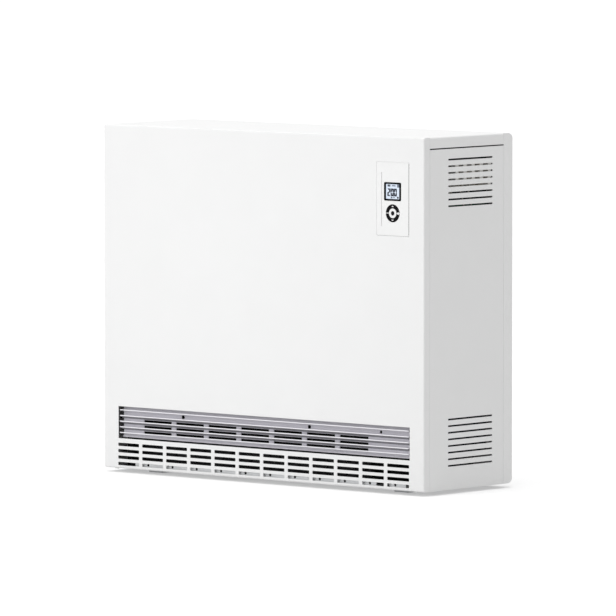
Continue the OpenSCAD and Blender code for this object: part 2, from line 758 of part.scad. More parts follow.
module base_insulation() color("burlywood") difference() {
  span([board_left, board_right], [board_front, board_rear], [deck_top, core_z]);
  core_channels(deck_top, core_z);
}

// Air passages under every channel of the bricks
module core_channels(low, high) {
  for (c = [0:brick_cols - 1], s = [-1, 1])
    span([core_left + (c + 0.5) * brick_w - channel_x - channel_w / 2,
      core_left + (c + 0.5) * brick_w + channel_x + channel_w / 2],
      [s * channel_y - channel_d / 2, s * channel_y + channel_d / 2], [low - eps, high + eps]);
}

module top_insulation() color("burlywood") difference() {
  span([board_left, board_right], [board_front, board_rear], [core_top, top_board_z]);
  span([core_left + 10, core_right - 10], [-channel_y - channel_d / 2, channel_y + channel_d / 2],
    [core_top - eps, core_top + 12]);
}

module front_insulation() color("tan")
  span([board_left, board_right], [board_front, -brick_d / 2], [core_z, core_top]);

module rear_insulation() color("tan")
  span([board_left, board_right], [brick_d / 2, board_rear], [core_z, core_top]);

module left_insulation() color("tan")
  span([board_left, core_left], [-brick_d / 2, brick_d / 2], [core_z, core_top]);

module right_insulation() color("tan") difference() {
  span([core_right, board_right], [-brick_d / 2, brick_d / 2], [core_z, core_top]);
  for (z = element_level, s = [-1, 1]) rod_x(6, [core_right - 1, board_right + 1], s * element_legs / 2, z);
  rod_x(probe_r + 0.5, [core_right - 1, board_right + 1], 0, probe_z);
}

module front_heat_shield() color("lightgray") {
  span([board_left, board_right], [board_front - 1, board_front], [deck_top, top_board_z]);
  span([board_left, board_right], [board_front - 1, board_front + 30], [top_board_z, top_board_z + 1]);
}

// Steel stand that carries the core on a slotted deck
module core_support() color("dimgray") {
  difference() {
    span([board_left, board_right], [board_front, board_rear], [deck_top - deck_t, deck_top]);
    core_channels(deck_top - deck_t, deck_top);
  }
  for (x = [board_left, board_right - 2]) difference() {
    span([x, x + 2], [-104, board_rear], [floor_top, deck_top - deck_t / 2]);
    rod_x(cable_hole_r, [x - eps, x + 2 + eps], cable_hole[0], cable_hole[1]);
    rod_x(sensor_hole_r, [x - eps, x + 2 + eps], sensor_hole[0], sensor_hole[1]);
  }
  span([board_left, board_right], [board_rear - 2, board_rear], [floor_top, deck_top - deck_t / 2]);
}

// Upright wall beside the core with its flanges to the right; x is its left face
module core_wall(x) {
  f = x + wall_t + wall_flange;
  top = lid_in - lid_return;
  difference() {
    span([x, x + wall_t], [wall_front, field_in], [floor_top, top]);
    span([x - eps, x + wall_t + eps], [base_rear, rear_y], [floor_top - eps, foot_h + rear_end_r]);
  }
  span([x, f], [wall_front, wall_front + wall_t], [outlet_top + 6, top]);
  span([x, f], [field_in - wall_t, field_in], [foot_h + rear_end_r, top]);
  span([x, f], [wall_front, field_in], [top - wall_t, top]);
  span([x, f], [wall_front, base_rear], [floor_top, floor_top + wall_t]);
}

module screw_holes() {
  for (x = rear_screw_x(), z = rear_screw_z)
    rod_y(screw_r + fit, x, [field_in - wall_t - eps, field_in + eps], z);
}

module left_core_wall() color("dimgray") difference() {
  mirror([1, 0, 0]) core_wall(-left_wall);
  screw_holes();
}

module partition_wall() color("dimgray") difference() {
  core_wall(right_wall);
  screw_holes();
  for (z = element_level, s = [-1, 1])
    rod_x(6, [right_wall - 1, right_wall + 2], s * element_legs / 2, z);
  rod_x(probe_r + 0.5, [right_wall - 1, right_wall + 2], 0, probe_z);
  rod_x(cable_hole_r, [right_wall - 1, right_wall + 2], cable_hole[0], cable_hole[1]);
  rod_x(sensor_hole_r, [right_wall - 1, right_wall + 2], sensor_hole[0], sensor_hole[1]);
}

module core_probe() color("silver") {
  rod_x(probe_r, [probe_x, right_wall + wall_t + 1], 0, probe_z);
  rod_x(6, [right_wall + wall_t, probe_end], 0, probe_z);
}

// ---- Fan section ---------------------------------------------------------------------------------

function lip_hole_x(i) = lip_hole_mid + (i - (lip_holes - 1) / 2) * lip_hole_pitch;

// Light-grey tray; its front lip shows through the lowest intake slots
module fan_tray() color("lightgray") {
  difference() {
    union() {
      span(tray_x, [lip_y, 100], [floor_top, tray_top]);
      span(tray_x, [lip_y, lip_y + tray_t], [floor_top, lip_top]);
    }
    for (i = [0:lip_holes - 1])
      rod_y(lip_hole_r, lip_hole_x(i), [lip_y - eps, lip_y + tray_t + eps], lip_hole_z);
  }
  span(tray_x, [100 - tray_t, 100], [floor_top, 34]);
}

// Sheet scroll round both impellers, open below and towards the front
module fan_housing() color("dimgray") {
  t = 1;
  walls = [housing_x[0], bay_x[0], bay_x[1] - t, housing_x[1] - t];
  deck = deck_top - deck_t;
  for (x = [[housing_x[0], bay_x[0]], [bay_x[1], housing_x[1]]]) along_x(x) {
    intersection() {
      translate([fan_y, fan_z]) difference() {
        circle(scroll_r + t);
        circle(scroll_r);
      }
      translate([fan_y, fan_z - scroll_r - t]) square([60, 2 * (scroll_r + t)]);
    }
    polygon([[fan_y + 0.2, fan_z + scroll_r], [fan_y + 0.2, fan_z + scroll_r + t], [29, deck], [28, deck]]);
  }
  span(housing_x, [duct_rear, duct_rear + t], [duct_floor - duct_t, duct_floor + 42.5]);
  for (x = walls) difference() {
    span([x, x + t], [duct_rear, 84], [tray_top, deck]);
    rod_x(bush_r, [x - eps, x + t + eps], fan_y, fan_z);
    rod_x(12, [x - eps, x + t + eps], 24, 28);
  }
  for (y = [22, 66]) span(motor_x, [y, y + 8], [tray_top, 42]);
}

// Cross-flow impellers: a ring of slanted blades between end discs, one to each side of the motor
module fan_impellers() color("silver") for (x = impeller_x) {
  along_x(x) translate([fan_y, fan_z]) for (i = [0:blades - 1])
    rotate(i * 360 / blades) translate([impeller_r - 3.5, 0]) rotate(35) square([6, 0.8], center = true);
  for (d = [x[0], (x[0] + x[1]) / 2 - 0.6, x[1] - 1.2]) difference() {
    rod_x(impeller_r, [d, d + 1.2], fan_y, fan_z);
    rod_x(shaft_d / 2, [d - eps, d + 2], fan_y, fan_z);
  }
}

module fan_shaft() color("silver")
  rod_x(shaft_d / 2, [bush_x[0] - 1, bush_x[3] + bush_l + 1], fan_y, fan_z);

module motor_rotor() color("gray") difference() {
  rod_x(rotor_r, [motor_x[0] - 1, motor_x[1] + 1], fan_y, fan_z);
  rod_x(shaft_d / 2, [motor_x[0] - 3, motor_x[1] + 3], fan_y, fan_z);
}

module motor_stator() color("dimgray") difference() {
  span(motor_x, [20, 98], [42, 90]);
  rod_x(rotor_r + 0.5, [motor_x[0] - 1, motor_x[1] + 1], fan_y, fan_z);
  span([motor_x[0] - 1, motor_x[1] + 1], [72, 86], [50, 82]);
}

module motor_coil() color("darkorange") difference() {
  span([motor_x[0] - 10, motor_x[1] + 10], [73, board_rear - 4], [51, 81]);
  span(motor_x, [86, 98], [50, 82]);
}

module fan_bearings() color("goldenrod") for (x = bush_x) difference() {
  rod_x(bush_r, [x, x + bush_l], fan_y, fan_z);
  rod_x(shaft_d / 2 + fit, [x - 1, x + bush_l + 1], fan_y, fan_z);
}

module mixing_flap() color("dimgray") {
  rod_x(flap_pin_r, [duct_x[0] - 2, duct_x[1] + 9], flap_y, flap_z);
  span(flap_x, [flap_y - 0.5, flap_y + 0.5], [flap_z - flap_l, flap_z]);
}

// Flat spiral of bimetal strip round the flap's pin, with its outer end on the duct
function spiral_r(a) = flap_pin_r + 0.5 + a / 360;

module flap_bimetal() color("peru") {
  turns = 1.75;
  steps = 48;
  strip = 0.6;
  angles = [for (i = [0:steps]) i * 360 * turns / steps];
  translate([0, flap_y, flap_z]) {
    translate([duct_x[1] + 2, 0, 0]) rotate([90, 0, 90]) linear_extrude(5) polygon(concat(
      [for (a = angles) spiral_r(a) * [cos(a), sin(a)]],
      [for (i = [steps:-1:0]) (spiral_r(angles[i]) + strip) * [cos(angles[i]), sin(angles[i])]]));
    span([duct_x[1], duct_x[1] + 7], [-1.5, 1.5], [-7, -4.5]);
  }
}

// ---- Switchgear ----------------------------------------------------------------------------------

module switchgear_carrier() color("dimgray") {
  span([carrier_x, carrier_face], carrier_y, carrier_z);
  for (z = [carrier_z[0], carrier_z[1] - wall_t]) span([right_wall + wall_t, carrier_x + wall_t / 2],
    carrier_y, [z, z + wall_t]);
  for (y = [pcb_y[0] + 6, pcb_y[1] - 6], z = [pcb_z[0] + 6, pcb_z[1] - 6])
    rod_x(3, [carrier_face - wall_t / 2, pcb_x], y, z);
}

// Ceramic block with a barrier beside every pole; the last barrier is the longest
module terminal_block() color("ivory") {
  span([carrier_face, carrier_face + 10], [pole_y - 10, pole_y + (poles - 1) * pole_pitch + 10],
    terminal_z);
  for (i = [0:poles - 1]) translate([0, pole_y + i * pole_pitch, 0])
    span([carrier_face + 9, side_in - 1.5], [-4.5, 4.5], i < poles - 1 ? barrier_z : last_barrier_z);
}

module terminal_clamps() color("goldenrod") for (i = [0:poles - 2])
  translate([0, pole_y + (i + 0.5) * pole_pitch, 0]) {
    span([carrier_face + 10, carrier_face + 19], [-5, 5], [terminal_z[0] + 8, terminal_z[1] - 8]);
    for (z = [terminal_z[0] + 16, terminal_z[1] - 16])
      rod_x(3, [carrier_face + 18, carrier_face + 21], 0, z);
  }

module power_board() color("darkgreen") {
  span([pcb_x, pcb_x + pcb_t], pcb_y, pcb_z);
  span([pcb_x + pcb_t, pcb_x + pcb_t + 15], [52, 84], [486, 520]);
  for (z = [340, 364]) span([pcb_x + pcb_t, pcb_x + pcb_t + 9], [pcb_y[1] - 16, pcb_y[1] - 6], [z, z + 16]);
  for (y = [-24, -6]) rod_x(6, [pcb_x + pcb_t, pcb_x + pcb_t + 16], y, 344);
}

module relays() color("black") for (i = [0:2])
  span([pcb_x + pcb_t, pcb_x + pcb_t + 15.5], [-8, 21], [372 + i * 36, 385 + i * 36]);

// Disc thermostat with a hand reset, clamped to the partition wall
module safety_limiter() color("black") {
  x = right_wall + wall_t;
  span([x, x + 2], [limiter_y - 12, limiter_y + 12], [limiter_z - 25, limiter_z + 25]);
  difference() {
    rod_x(13, [x + 1, x + 18], limiter_y, limiter_z);
    rod_x(3, [x + 8, x + 19], limiter_y, limiter_z);
  }
}

module limiter_reset_button() color("red")
  rod_x(2.7, [right_wall + wall_t + 12, right_wall + wall_t + 22], limiter_y, limiter_z);

// Leads of the elements, the supply, the display, the room sensor, the core probe, the limiter and
// the fan motor
module wiring() color("ivory") {
  stud = right_wall + wall_t + 17;
  board = pcb_x + pcb_t;
  rim = carrier_y[0] - 10;
  clamp_x = carrier_face + 15;
  clamp_z = terminal_z[0] + 8;
  limiter_x = right_wall + wall_t + 18;
  for (i = [0:2]) {
    z = element_level[i];
    y = element_legs / 2;
    b = 378 + 36 * i;
    lead([[stud, -y, z], [stud + 8, -y, z], [334, rim - 2, (z + b) / 2], [374, rim - 4, b],
      [374, -22, b], [board, -22, b]], 3);
    lead([[stud, y, z], [stud + 8, y, z], [312, 8, z + 14], [318, -30, z + 24], [346, rim - 10, z + 26],
      [382, rim - 8, b + 14], [382, -16, b + 14], [board, -16, b + 14]], 3);
  }
  for (i = [0, 1]) {
    y = pole_y + (i + 1.5) * pole_pitch;
    lead([[clamp_x, y, clamp_z], [clamp_x, y, 546], [374, y - 4, 536], [374, 8 + 20 * i, 505],
      [board, 8 + 20 * i, 505]], 3);
  }
  lead([[plug_x, plug_y, plug_z[1]], [plug_x, -98, plug_z[1]], [344, -84, 560], [366, -64, 520],
    [374, -50, 500], [374, -26, 500], [board, -26, 500]], 4);
  lead([[sensor_x - 4, -104.4, catch_z], [sensor_x - 4, -99, catch_z], [right_wall - 12, -98, 98],
    [right_wall + 6, -98, 98], [312, -100, 104], [328, -100, 140], [plug_x, -100, 300],
    [plug_x, -99, 440], [plug_x, -96, 478], [plug_x, -104, 482], [plug_x, plug_y, plug_z[0]]], 3);
  lead([[probe_end, 0, probe_z], [300, 0, probe_z], [318, -30, 420], [340, -46, 444], [368, -46, 470],
    [374, -40, 478], [374, -28, 478], [board, -28, 478]], 3);
  lead([[limiter_x, limiter_y - 8, limiter_z], [limiter_x + 7, limiter_y - 8, limiter_z],
    [318, 10, limiter_z + 10], [330, -40, limiter_z + 30], [348, -46, 520], [366, -46, 536],
    [clamp_x, -30, 544], [clamp_x, pole_y + pole_pitch / 2, 548],
    [clamp_x, pole_y + pole_pitch / 2, clamp_z]], 3);
  lead([[limiter_x, limiter_y + 8, limiter_z], [limiter_x + 7, limiter_y + 8, limiter_z],
    [324, 94, limiter_z], [346, 104, limiter_z], [364, 102, 468], [374, 92, 466], [374, 78, 466],
    [board, 78, 466]], 3);
  lead([[motor_x[1] + 10, 90, 56], [2, 90, 56], [46, 92, 46], [150, 92, 44], [256, 88, 46],
    [296, 88, 46], [310, 99, 52], [330, 106, 96], [344, 106, 300], [354, 105, 348], [368, 100, 366],
    [379, 88, 372], [382, 78, 372], [board + 9, 78, 372]], 4);
}

front_panel();
left_side_panel();
right_side_panel();
top_lid();
rear_panel();
base_plate();
left_floor_rail();
right_floor_rail();
casing_screws();
cable_grommet();
outlet_grille();
left_grille_catch();
right_grille_catch();
room_sensor();
outlet_duct();
lint_filter();
control_fascia();
display_frame();
display_module();
key_up();
key_down();
key_enter();
key_mat();
display_board();
lower_bricks();
middle_bricks();
upper_bricks();
lower_element();
middle_element();
upper_element();
element_insulators();
base_insulation();
top_insulation();
front_insulation();
rear_insulation();
left_insulation();
right_insulation();
front_heat_shield();
core_support();
left_core_wall();
partition_wall();
core_probe();
fan_tray();
fan_housing();
fan_impellers();
fan_shaft();
motor_rotor();
motor_stator();
motor_coil();
fan_bearings();
mixing_flap();
flap_bimetal();
switchgear_carrier();
terminal_block();
terminal_clamps();
power_board();
relays();
safety_limiter();
limiter_reset_button();
wiring();
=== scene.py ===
import json
import math

import bmesh
import bpy
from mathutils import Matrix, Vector


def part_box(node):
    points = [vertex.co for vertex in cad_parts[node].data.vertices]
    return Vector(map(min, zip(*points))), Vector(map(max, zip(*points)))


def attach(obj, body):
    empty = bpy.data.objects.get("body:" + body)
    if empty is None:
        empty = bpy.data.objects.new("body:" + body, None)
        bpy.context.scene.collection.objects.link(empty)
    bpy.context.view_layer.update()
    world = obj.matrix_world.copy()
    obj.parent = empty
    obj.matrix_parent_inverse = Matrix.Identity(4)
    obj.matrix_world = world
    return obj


# Fan-assisted storage heater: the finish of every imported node, the printed marks on the display and
# keys, and a plain white studio. Metres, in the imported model's own frame.
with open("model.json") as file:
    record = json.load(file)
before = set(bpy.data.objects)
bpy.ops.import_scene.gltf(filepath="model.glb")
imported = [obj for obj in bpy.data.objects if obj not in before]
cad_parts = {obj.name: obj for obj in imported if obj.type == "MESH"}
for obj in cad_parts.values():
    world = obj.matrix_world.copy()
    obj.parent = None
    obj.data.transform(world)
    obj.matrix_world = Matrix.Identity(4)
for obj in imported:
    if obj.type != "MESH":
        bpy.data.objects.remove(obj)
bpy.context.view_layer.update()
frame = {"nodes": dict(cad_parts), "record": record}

MM = 0.001


# ---- Procedural finishes --------------------------------------------------------------------------

class Finish:
    """A Principled material and the textures that drive it, all placed in the node's own space."""

    def __init__(self, name, colour, roughness, metallic=0.0, **sockets):
        self.material = bpy.data.materials.new(name)
        self.material.use_nodes = True
        self.tree = self.material.node_tree
        self.shader = self.tree.nodes["Principled BSDF"]
        self.colour = colour
        self.set("Base Color", (*colour, 1))
        self.set("Roughness", roughness)
        self.set("Metallic", metallic)
        for socket, value in sockets.items():
            self.set(socket.replace("_", " "), value)
        self.place = self.add("ShaderNodeTexCoord").outputs["Object"]

    def set(self, socket, value):
        self.shader.inputs[socket].default_value = value

    def add(self, kind, **settings):
        made = self.tree.nodes.new(kind)
        for key, value in settings.items():
            setattr(made, key, value)
        return made

    def link(self, source, target):
        self.tree.links.new(source, target)

    def stretched(self, size):
        """Coordinates in units of size, one number or one for each axis."""
        sizes = size if isinstance(size, tuple) else (size,) * 3
        mapping = self.add("ShaderNodeMapping")
        mapping.inputs["Scale"].default_value = [1 / s for s in sizes]
        self.link(self.place, mapping.inputs["Vector"])
        return mapping.outputs["Vector"]

    def noise(self, size, detail=2.0):
        """Soft spots of that size."""
        texture = self.add("ShaderNodeTexNoise")
        texture.inputs["Scale"].default_value = 1
        texture.inputs["Detail"].default_value = detail
        self.link(self.stretched(size), texture.inputs["Vector"])
        return texture.outputs["Fac"]

    def cells(self, size, feature="F1", output="Distance"):
        """Voronoi cells of that size."""
        texture = self.add("ShaderNodeTexVoronoi", feature=feature)
        texture.inputs["Scale"].default_value = 1
        self.link(self.stretched(size), texture.inputs["Vector"])
        return texture.outputs[output]

    def bands(self, pitch, axis, waviness=0.0):
        """Even ridges along an axis, one every pitch."""
        texture = self.add("ShaderNodeTexWave", wave_type="BANDS", bands_direction=axis)
        texture.inputs["Scale"].default_value = math.pi / 10
        texture.inputs["Distortion"].default_value = waviness
        self.link(self.stretched(pitch), texture.inputs["Vector"])
        return texture.outputs["Fac"]

    def along(self, axis):
        """Position on that axis."""
        parts = self.add("ShaderNodeSeparateXYZ")
        self.link(self.place, parts.inputs["Vector"])
        return parts.outputs[axis]

    def facing(self, axis):
        """How far the surface faces along that axis: 1 straight along it, -1 straight against it."""
        parts = self.add("ShaderNodeSeparateXYZ")
        self.link(self.add("ShaderNodeTexCoord").outputs["Normal"], parts.inputs["Vector"])
        return parts.outputs[axis]

    def ranged(self, factor, low, high, start=0.0, end=1.0):
        """factor from start to end, brought to low to high."""
        node = self.add("ShaderNodeMapRange", clamp=True)
        for socket, value in zip(("From Min", "From Max", "To Min", "To Max"), (start, end, low, high)):
            node.inputs[socket].default_value = value
        self.link(factor, node.inputs["Value"])
        return node.outputs["Result"]

    def sheen(self, factor, low, high):
        """Roughness that varies with factor."""
        self.link(self.ranged(factor, low, high, 0.3, 0.7), self.shader.inputs["Roughness"])

    def tint(self, factor, other, start=0.35, end=0.65):
        """Colour that turns to other where factor is high. Repeated calls lie over each other."""
        mix = self.add("ShaderNodeMix", data_type="RGBA")
        below = self.shader.inputs["Base Color"]
        if below.is_linked:
            self.link(below.links[0].from_socket, mix.inputs["A"])
        else:
            mix.inputs["A"].default_value = (*self.colour, 1)
        mix.inputs["B"].default_value = (*other, 1)
        self.link(self.ranged(factor, 0, 1, start, end), mix.inputs["Factor"])
        self.link(mix.outputs["Result"], below)

    def relief(self, factor, height):
        """Surface that rises by height where factor is high. Repeated calls add up."""
        bump = self.add("ShaderNodeBump")
        bump.inputs["Strength"].default_value = 1
        bump.inputs["Distance"].default_value = height
        below = self.shader.inputs["Normal"]
        if below.is_linked:
            self.link(below.links[0].from_socket, bump.inputs["Normal"])
        self.link(factor, bump.inputs["Height"])
        self.link(bump.outputs["Normal"], below)


def shade(colour, share):
    return tuple(c * share for c in colour)


def white_enamel():
    """Powder coat: faint orange peel and a slightly uneven sheen."""
    colour = (0.885, 0.887, 0.886)
    f = Finish("white_enamel", colour, 0.42)
    f.tint(f.noise(90 * MM), shade(colour, 0.99))
    f.sheen(f.noise(25 * MM), 0.38, 0.46)
    f.relief(f.noise(1.6 * MM, 1), 0.012 * MM)
    return f.material


def galvanised_sheet():
    """Zinc spangle: flat crystals, each with its own tone and gloss."""
    colour = (0.74, 0.75, 0.76)
    f = Finish("galvanised_sheet", colour, 0.45, 0.35)
    spangle = f.cells(9 * MM, output="Color")
    f.tint(spangle, shade(colour, 0.92), 0.2, 0.9)
    f.tint(f.noise(60 * MM, 4), shade(colour, 0.92))
    f.sheen(spangle, 0.40, 0.52)
    f.relief(f.cells(9 * MM), 0.03 * MM)
    return f.material


def black_steel():
    """Near-black matt sheet for the parts inside the casing, painted shade that makes the openings read
    dark: slightly cloudy, with a fine tooth.
    """
    # Painted shade: near black, far darker than the bare sheet of these inner parts
    colour = (0.012, 0.012, 0.013)
    f = Finish("black_steel", colour, 0.7, Specular_IOR_Level=0.2)
    f.tint(f.noise(30 * MM, 4), shade(colour, 1.5))
    f.sheen(f.noise(4 * MM), 0.62, 0.78)
    f.relief(f.noise(0.6 * MM, 2), 0.02 * MM)
    return f.material


def zinc_screw():
    colour = (0.62, 0.63, 0.65)
    f = Finish("zinc_screw", colour, 0.32, 1.0)
    f.tint(f.noise(2 * MM, 3), (0.50, 0.50, 0.47))
    f.sheen(f.noise(1 * MM), 0.25, 0.4)
    return f.material


def moulded(name, colour, roughness, grain=0.35, relief=0.01, cloud=1.12, **sockets):
    """Plastic, rubber or ink with a fine grain, size and relief in mm, and a faint cloud of a shade of its
    colour."""
    f = Finish(name, colour, roughness, **sockets)
    f.tint(f.noise(12 * MM, 3), shade(colour, cloud))
    f.sheen(f.noise(3 * MM), roughness * 0.9, min(1, roughness * 1.12))
    f.relief(f.noise(grain * MM, 1), relief * MM)
    return f.material


def grille_aluminium():
    """Satin anodised extrusion: long fine die lines along X, with painted shade that darkens it in the
    depth behind the fin edges and on the undersides of the fins."""
    colour = (0.955, 0.945, 0.985)
    f = Finish("grille_aluminium", colour, 0.5, Specular_IOR_Level=0.3)
    lines = f.noise((220 * MM, 0.5 * MM, 0.35 * MM), 3)
    f.tint(lines, shade(colour, 0.9))
    f.tint(f.noise(70 * MM), shade(colour, 0.96))
    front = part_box("outlet_grille")[0].y
    # Painted shade: darker from just behind the fin edges back into the depth of the grille
    f.tint(f.along("Y"), (0.735, 0.72, 0.775), front + 0.5 * MM, front + 3 * MM)
    # Painted shade: much darker on faces that look down, the undersides of the fins
    f.tint(f.facing("Z"), (0.31, 0.305, 0.325), -0.5, -0.8)
    f.sheen(lines, 0.38, 0.52)
    f.relief(lines, 0.012 * MM)
    return f.material


def filter_mesh():
    """Fine dark gauze: ridges of threads both ways."""
    colour = (0.014, 0.014, 0.016)
    f = Finish("filter_plastic", colour, 0.6, Specular_IOR_Level=0.25)
    for axis in "XZ":
        threads = f.bands(1.2 * MM, axis)
        f.tint(threads, shade(colour, 0.4), 0.3, 0.0)
        f.relief(threads, 0.15 * MM)
    return f.material


def lcd():
    """Lit liquid crystal: pale blue, faintly uneven, with a fine grid of cells."""
    colour = (0.62, 0.70, 0.82)
    f = Finish("lcd", colour, 0.12, Coat_Weight=0.4, Coat_Roughness=0.05,
               Emission_Color=(0.72, 0.83, 1.0, 1), Emission_Strength=0.18)
    f.tint(f.noise(14 * MM, 1), (0.68, 0.75, 0.86))
    for axis in "XZ":
        f.tint(f.bands(0.5 * MM, axis), shade(colour, 0.93), 0.8, 1.0)
    return f.material


def circuit_board():
    """Green solder mask over tracks, with tinned pads."""
    f = Finish("circuit_board", (0.012, 0.085, 0.035), 0.3, Coat_Weight=0.3)
    tracks = f.cells((3 * MM, 6 * MM, 6 * MM), "DISTANCE_TO_EDGE")
    f.tint(tracks, (0.025, 0.15, 0.06), 0.1, 0.16)
    f.tint(f.cells(4.5 * MM), (0.55, 0.55, 0.52), 0.16, 0.12)
    f.relief(tracks, 0.03 * MM)
    return f.material


def storage_brick():
    """Pressed and fired magnetite: dark, with lighter and rusty grains and small pores."""
    f = Finish("storage_brick", (0.045, 0.038, 0.035), 0.85)
    f.tint(f.noise(20 * MM, 4), (0.075, 0.056, 0.046))
    f.tint(f.cells(1.8 * MM, output="Color"), (0.14, 0.115, 0.10), 0.72, 0.95)
    f.relief(f.noise(2.2 * MM, 6), 0.5 * MM)
    f.relief(f.cells(3.5 * MM), 0.25 * MM)
    return f.material


def element_steel():
    """Sheathed element: steel with straw and blue heat tints along the tube."""
    f = Finish("element_steel", (0.26, 0.26, 0.27), 0.4, 0.95)
    f.tint(f.noise((60 * MM, 25 * MM, 25 * MM), 3), (0.30, 0.22, 0.13), 0.45, 0.7)
    f.tint(f.noise((40 * MM, 20 * MM, 20 * MM), 2), (0.13, 0.15, 0.25), 0.55, 0.75)
    f.relief(f.noise(0.6 * MM, 2), 0.01 * MM)
    return f.material


def white_ceramic():
    """Unglazed steatite with a few grey specks."""
    colour = (0.88, 0.87, 0.84)
    f = Finish("white_ceramic", colour, 0.55)
    f.tint(f.noise(8 * MM, 3), shade(colour, 0.95))
    f.tint(f.cells(1.4 * MM, output="Color"), shade(colour, 0.78), 0.9, 1.0)
    f.relief(f.noise(0.7 * MM, 3), 0.03 * MM)
    return f.material


def insulation_board():
    """Pressed mineral fibre: cloudy, matt and hairy."""
    colour = (0.56, 0.48, 0.35)
    f = Finish("insulation_board", colour, 0.95, Sheen_Weight=0.2, Sheen_Roughness=0.6)
    f.tint(f.noise(35 * MM, 4), shade(colour, 0.78))
    fibres = f.noise((6 * MM, 1.1 * MM, 0.8 * MM), 5)
    f.tint(fibres, (0.70, 0.63, 0.50))
    f.relief(fibres, 0.5 * MM)
    f.relief(f.noise((1.0 * MM, 0.9 * MM, 5 * MM), 4), 0.35 * MM)
    return f.material


def motor_steel():
    """Stacked laminations, 0.65 mm each, seen on edge."""
    colour = (0.20, 0.20, 0.215)
    f = Finish("motor_steel", colour, 0.42, 0.85)
    sheets = f.bands(0.65 * MM, "X")
    f.tint(sheets, shade(colour, 0.6), 0.7, 1.0)
    f.relief(sheets, 0.06 * MM)
    f.tint(f.noise(10 * MM, 3), (0.19, 0.15, 0.12), 0.55, 0.75)
    return f.material


def copper_winding():
    """Close turns of enamelled wire."""
    colour = (0.50, 0.16, 0.05)
    f = Finish("copper_winding", colour, 0.28, 0.9, Coat_Weight=0.6, Coat_Roughness=0.15)
    turns = f.bands(0.5 * MM, "X", 0.6)
    f.tint(turns, shade(colour, 0.45), 0.65, 1.0)
    f.relief(turns, 0.2 * MM)
    return f.material


def bearing_bronze():
    """Sintered bronze with open pores."""
    colour = (0.36, 0.21, 0.08)
    f = Finish("bearing_bronze", colour, 0.5, 0.9)
    f.tint(f.cells(0.6 * MM), shade(colour, 0.35), 0.3, 0.1)
    f.relief(f.cells(0.6 * MM), 0.05 * MM)
    return f.material


def rolled_metal(name, colour, roughness, grain):
    """Bright metal with fine rolling or turning lines; grain is their size on each axis in mm."""
    f = Finish(name, colour, roughness, 1.0)
    lines = f.noise(tuple(g * MM for g in grain), 3)
    f.tint(lines, shade(colour, 0.78))
    f.tint(f.noise(15 * MM, 2), shade(colour, 0.92))
    f.sheen(lines, roughness * 0.8, roughness * 1.3)
    f.relief(lines, 0.02 * MM)
    return f.material


def silicone_lead():
    """Silicone insulation with a faint woven sleeve."""
    colour = (0.62, 0.58, 0.48)
    f = Finish("silicone_lead", colour, 0.5)
    f.tint(f.noise(20 * MM, 2), shade(colour, 0.85))
    weave = f.cells(0.8 * MM)
    f.tint(weave, shade(colour, 0.8), 0.5, 0.9)
    f.relief(weave, 0.08 * MM)
    return f.material


FINISHES = {
    "white_enamel": white_enamel(),
    "galvanised_sheet": galvanised_sheet(),
    "black_steel": black_steel(),
    "zinc_screw": zinc_screw(),
    "black_rubber": moulded("black_rubber", (0.02, 0.02, 0.02), 0.75, 0.5, 0.03),
    "grille_aluminium": grille_aluminium(),
    "black_plastic": moulded("black_plastic", (0.001, 0.001, 0.0015), 0.42, Specular_IOR_Level=0.06),
    "filter_plastic": filter_mesh(),
    "white_plastic": moulded("white_plastic", (0.90, 0.902, 0.90), 0.40, cloud=0.985),
    "display_black": moulded("display_black", (0.0005, 0.001, 0.002), 0.30, Specular_IOR_Level=0.05),
    "lcd": lcd(),
    "grey_silicone": moulded("grey_silicone", (0.17, 0.17, 0.18), 0.6, 0.4, 0.02),
    "circuit_board": circuit_board(),
    "storage_brick": storage_brick(),
    "element_steel": element_steel(),
    "white_ceramic": white_ceramic(),
    "insulation_board": insulation_board(),
    "motor_steel": motor_steel(),
    "copper_winding": copper_winding(),
    "bearing_bronze": bearing_bronze(),
    "brass_clamp": rolled_metal("brass_clamp", (0.60, 0.40, 0.13), 0.3, (0.3, 6, 0.3)),
    "impeller_aluminium": rolled_metal("impeller_aluminium", (0.62, 0.63, 0.65), 0.35, (20, 0.4, 0.4)),
    "bimetal_strip": rolled_metal("bimetal_strip", (0.34, 0.25, 0.16), 0.35, (5, 0.3, 0.3)),
    "red_plastic": moulded("red_plastic", (0.42, 0.012, 0.008), 0.3),
    "silicone_lead": silicone_lead(),
}


def dress_nodes():
    """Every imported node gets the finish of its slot."""
    for part in frame["record"]["subparts"]:
        slots = frame["nodes"][part["node"]].data.materials
        slots.clear()
        slots.append(FINISHES[part["material_slot"]])


# ---- Printed marks --------------------------------------------------------------------------------

# How far a printed mark stands proud of its face, and how far it reaches into it
PRINT_RISE = 0.06 * MM
PRINT_SINK = 0.02 * MM


